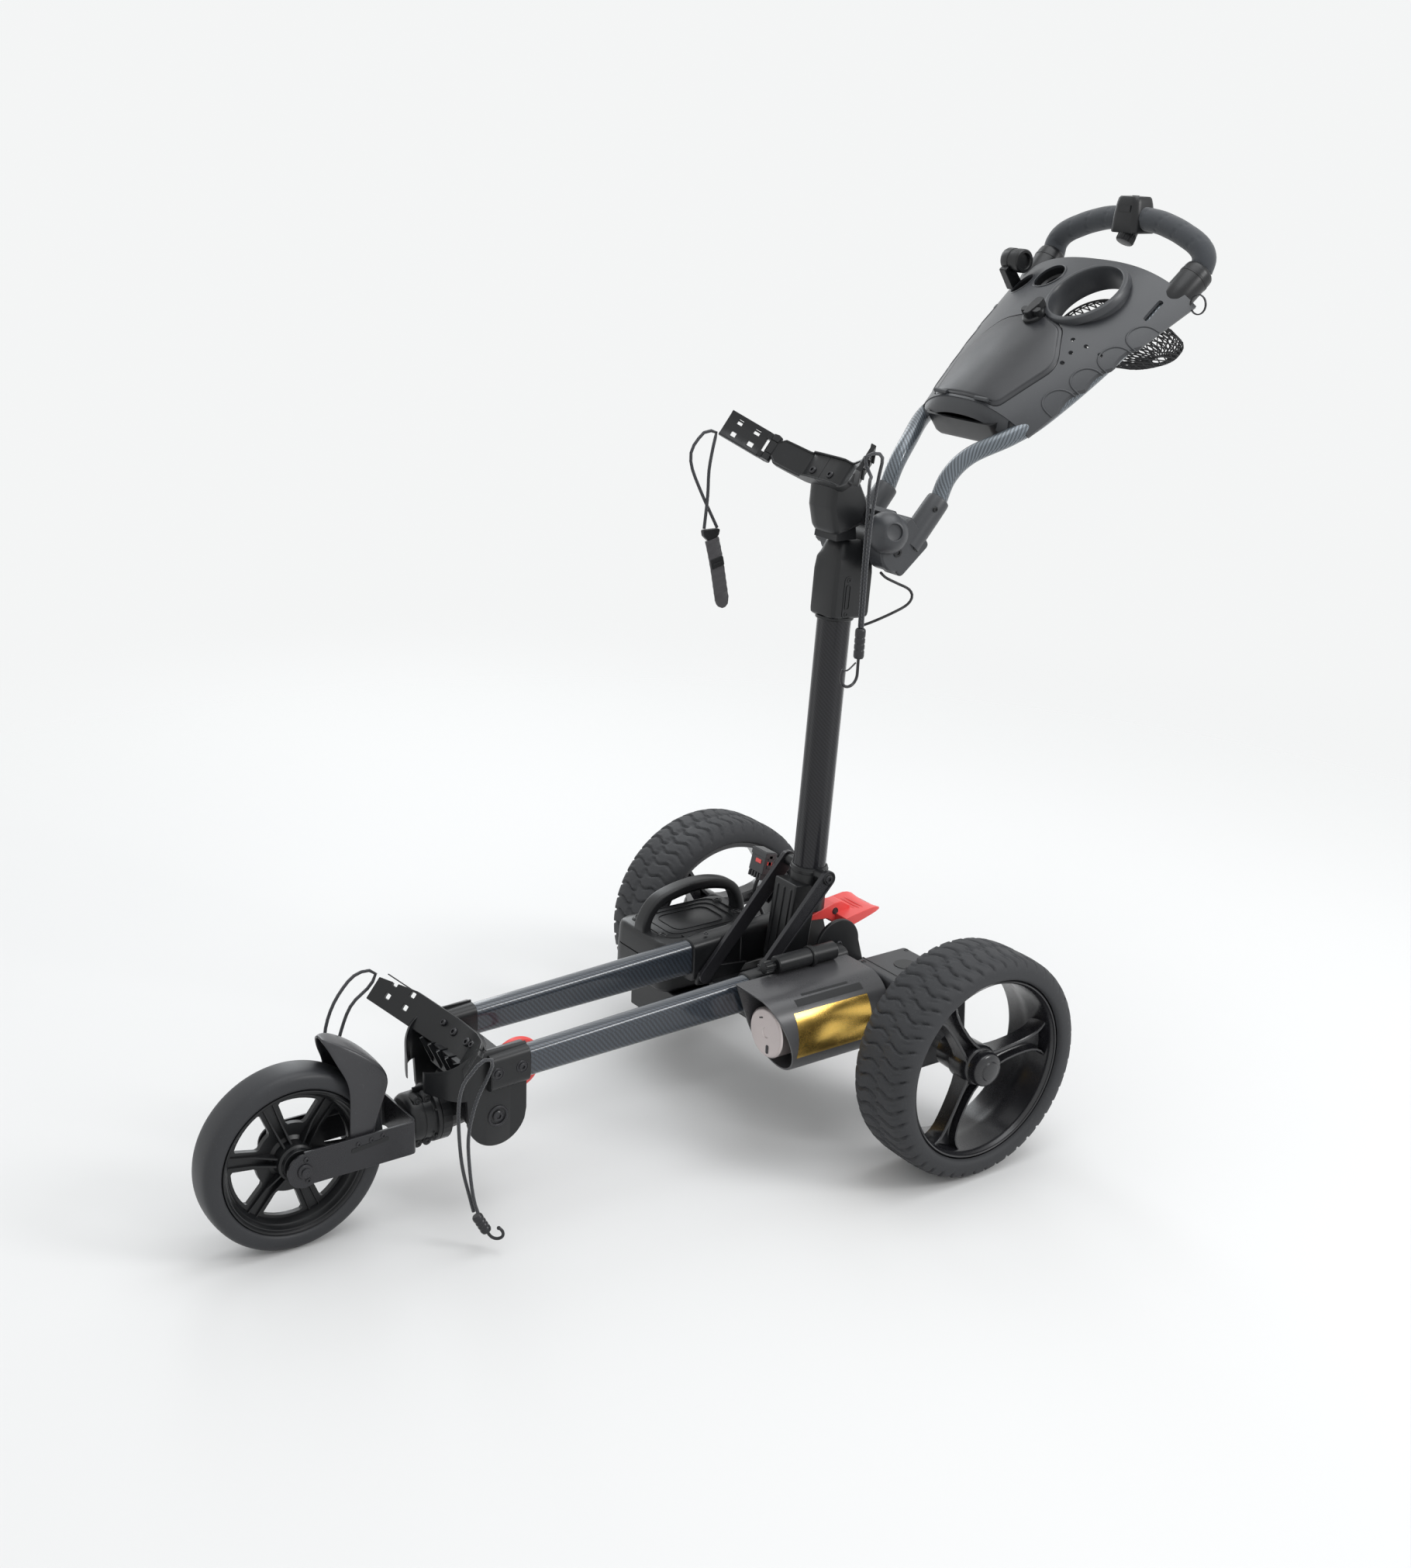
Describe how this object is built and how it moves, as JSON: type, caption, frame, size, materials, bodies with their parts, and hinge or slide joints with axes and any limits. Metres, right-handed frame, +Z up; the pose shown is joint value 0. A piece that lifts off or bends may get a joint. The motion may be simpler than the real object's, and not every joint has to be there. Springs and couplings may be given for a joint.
{
  "type": "electric golf trolley",
  "caption": "Folding three-wheel electric golf trolley: carbon-look frame, motor and battery at the rear axle, bag cradles, and a console under a loop handle.",
  "frame": {"origin": "on the ground, under the middle of the trolley's outline", "axes": "-Y to the front wheel, +X to the trolley's left, +Z up"},
  "size_m": [0.607, 1.2909, 1.1045],
  "materials": {
    "carbon": "clear-coated woven carbon fibre",
    "black_plastic": "fine textured black",
    "grey_plastic": "satin dark grey",
    "rubber": "matt dark rubber",
    "foam": "closed-cell foam grip tape",
    "red_plastic": "satin coral red",
    "steel": "plain bright steel",
    "black_steel": "black powder coat",
    "motor_metal": "bare die-cast",
    "cord": "woven black cover over elastic or wire",
    "net": "knotted black mesh"
  },
  "bodies": {
    "chassis": {"chassis_block": "black_plastic", "rear_axle": "steel", "tube_left": "carbon", "tube_right": "carbon", "clamp_screw": "black_plastic", "motor_shroud": "grey_plastic", "motor_can": "motor_metal", "gearbox": "grey_plastic", "battery_case": "grey_plastic", "battery_tray": "black_plastic", "battery_plug": "grey_plastic", "battery_lead": "cord", "front_plate_left": "black_plastic", "front_plate_right": "black_plastic", "front_block": "black_plastic", "fold_bolt": "steel", "lower_cradle": "black_plastic", "lower_cord_left": "cord", "lower_cord_right": "cord", "lower_hook_left": "black_steel", "lower_hook_right": "black_steel"},
    "mast": {"mast_tube": "carbon", "mast_foot": "black_plastic", "strut_left": "black_plastic", "strut_right": "black_plastic", "head_housing": "black_plastic", "hub_pin": "steel", "upper_cradle": "black_plastic", "control_cable": "cord"},
    "handle": {"hub_shell": "grey_plastic", "handle_tube_left": "carbon", "handle_tube_right": "carbon", "console_deck": "grey_plastic", "console_tray": "black_plastic", "net_bag": "net", "loop_grip": "foam", "loop_cap": "black_plastic", "accessory_mount": "black_plastic"},
    "lid": {"console_lid": "grey_plastic"},
    "lid_turn_latch": {"lid_latch": "black_plastic"},
    "knob": {"speed_knob": "black_plastic"},
    "paddle_l": {"paddle_left": "black_plastic", "upper_cord_left": "cord", "upper_hook_left": "black_steel"},
    "paddle_r": {"paddle_right": "black_plastic", "upper_cord_right": "cord", "upper_strap_right": "black_plastic"},
    "front_leg": {"front_arm": "black_plastic", "fork_collar": "black_plastic", "fork": "black_steel", "mudguard": "grey_plastic", "front_axle": "steel"},
    "front_wheel": {"front_tyre": "rubber", "front_rim": "black_plastic"},
    "rear_wheel_l": {"rear_tyre_left": "rubber", "rear_rim_left": "black_plastic"},
    "rear_wheel_r": {"rear_tyre_right": "rubber", "rear_rim_right": "black_plastic"},
    "lever": {"latch_lever": "red_plastic"},
    "ring": {"release_ring": "red_plastic"}
  },
  "joints": [
    {"name": "main_fold", "type": "hinge", "parent": "chassis", "child": "mast", "pos_m": [0, 0.038, 0.167], "axis": [1, 0, 0], "range_deg": [0, 80]},
    {"name": "handle_fold", "type": "hinge", "parent": "mast", "child": "handle", "pos_m": [0, 0.2223, 0.706], "axis": [1, 0, 0], "range_deg": [-83, 0], "deforming": ["control_cable"]},
    {"name": "lid_hinge", "type": "hinge", "parent": "handle", "child": "lid", "pos_m": [0, 0.35892, 0.87408], "axis": [1, 0, 0], "range_deg": [0, 80]},
    {"name": "latch_turn", "type": "hinge", "parent": "lid", "child": "lid_turn_latch", "pos_m": [0, 0.46592, 0.9682], "axis": [0, -0.5949, 0.8038], "range_deg": [-90, 90]},
    {"name": "speed_turn", "type": "hinge", "parent": "handle", "child": "knob", "pos_m": [0, 0.6223, 1.0635], "axis": [0, -0.5, -0.866], "range_deg": [-135, 135]},
    {"name": "paddle_fold_left", "type": "hinge", "parent": "mast", "child": "paddle_l", "pos_m": [0.083, 0.13868, 0.81201], "axis": [0, -0.6112, -0.7915], "range_deg": [0, 100]},
    {"name": "paddle_fold_right", "type": "hinge", "parent": "mast", "child": "paddle_r", "pos_m": [-0.083, 0.13868, 0.81201], "axis": [0, 0.6112, 0.7915], "range_deg": [0, 100]},
    {"name": "front_fold", "type": "hinge", "parent": "chassis", "child": "front_leg", "pos_m": [0, -0.318, 0.122], "axis": [1, 0, 0], "range_deg": [0, 100]},
    {"name": "front_spin", "type": "hinge", "parent": "front_leg", "child": "front_wheel", "pos_m": [0, -0.5392, 0.1062], "axis": [1, 0, 0], "continuous": true},
    {"name": "rear_spin_left", "type": "hinge", "parent": "chassis", "child": "rear_wheel_l", "pos_m": [0.258, 0.2053, 0.14], "axis": [1, 0, 0], "continuous": true},
    {"name": "rear_spin_right", "type": "hinge", "parent": "chassis", "child": "rear_wheel_r", "pos_m": [-0.258, 0.2053, 0.14], "axis": [1, 0, 0], "continuous": true},
    {"name": "latch_lift", "type": "hinge", "parent": "chassis", "child": "lever", "pos_m": [0, 0.2017, 0.2386], "axis": [1, 0, 0], "range_deg": [0, 30]},
    {"name": "ring_pull", "type": "hinge", "parent": "chassis", "child": "ring", "pos_m": [0, -0.2852, 0.144], "axis": [1, 0, 0], "range_deg": [0, 20]}
  ]
}
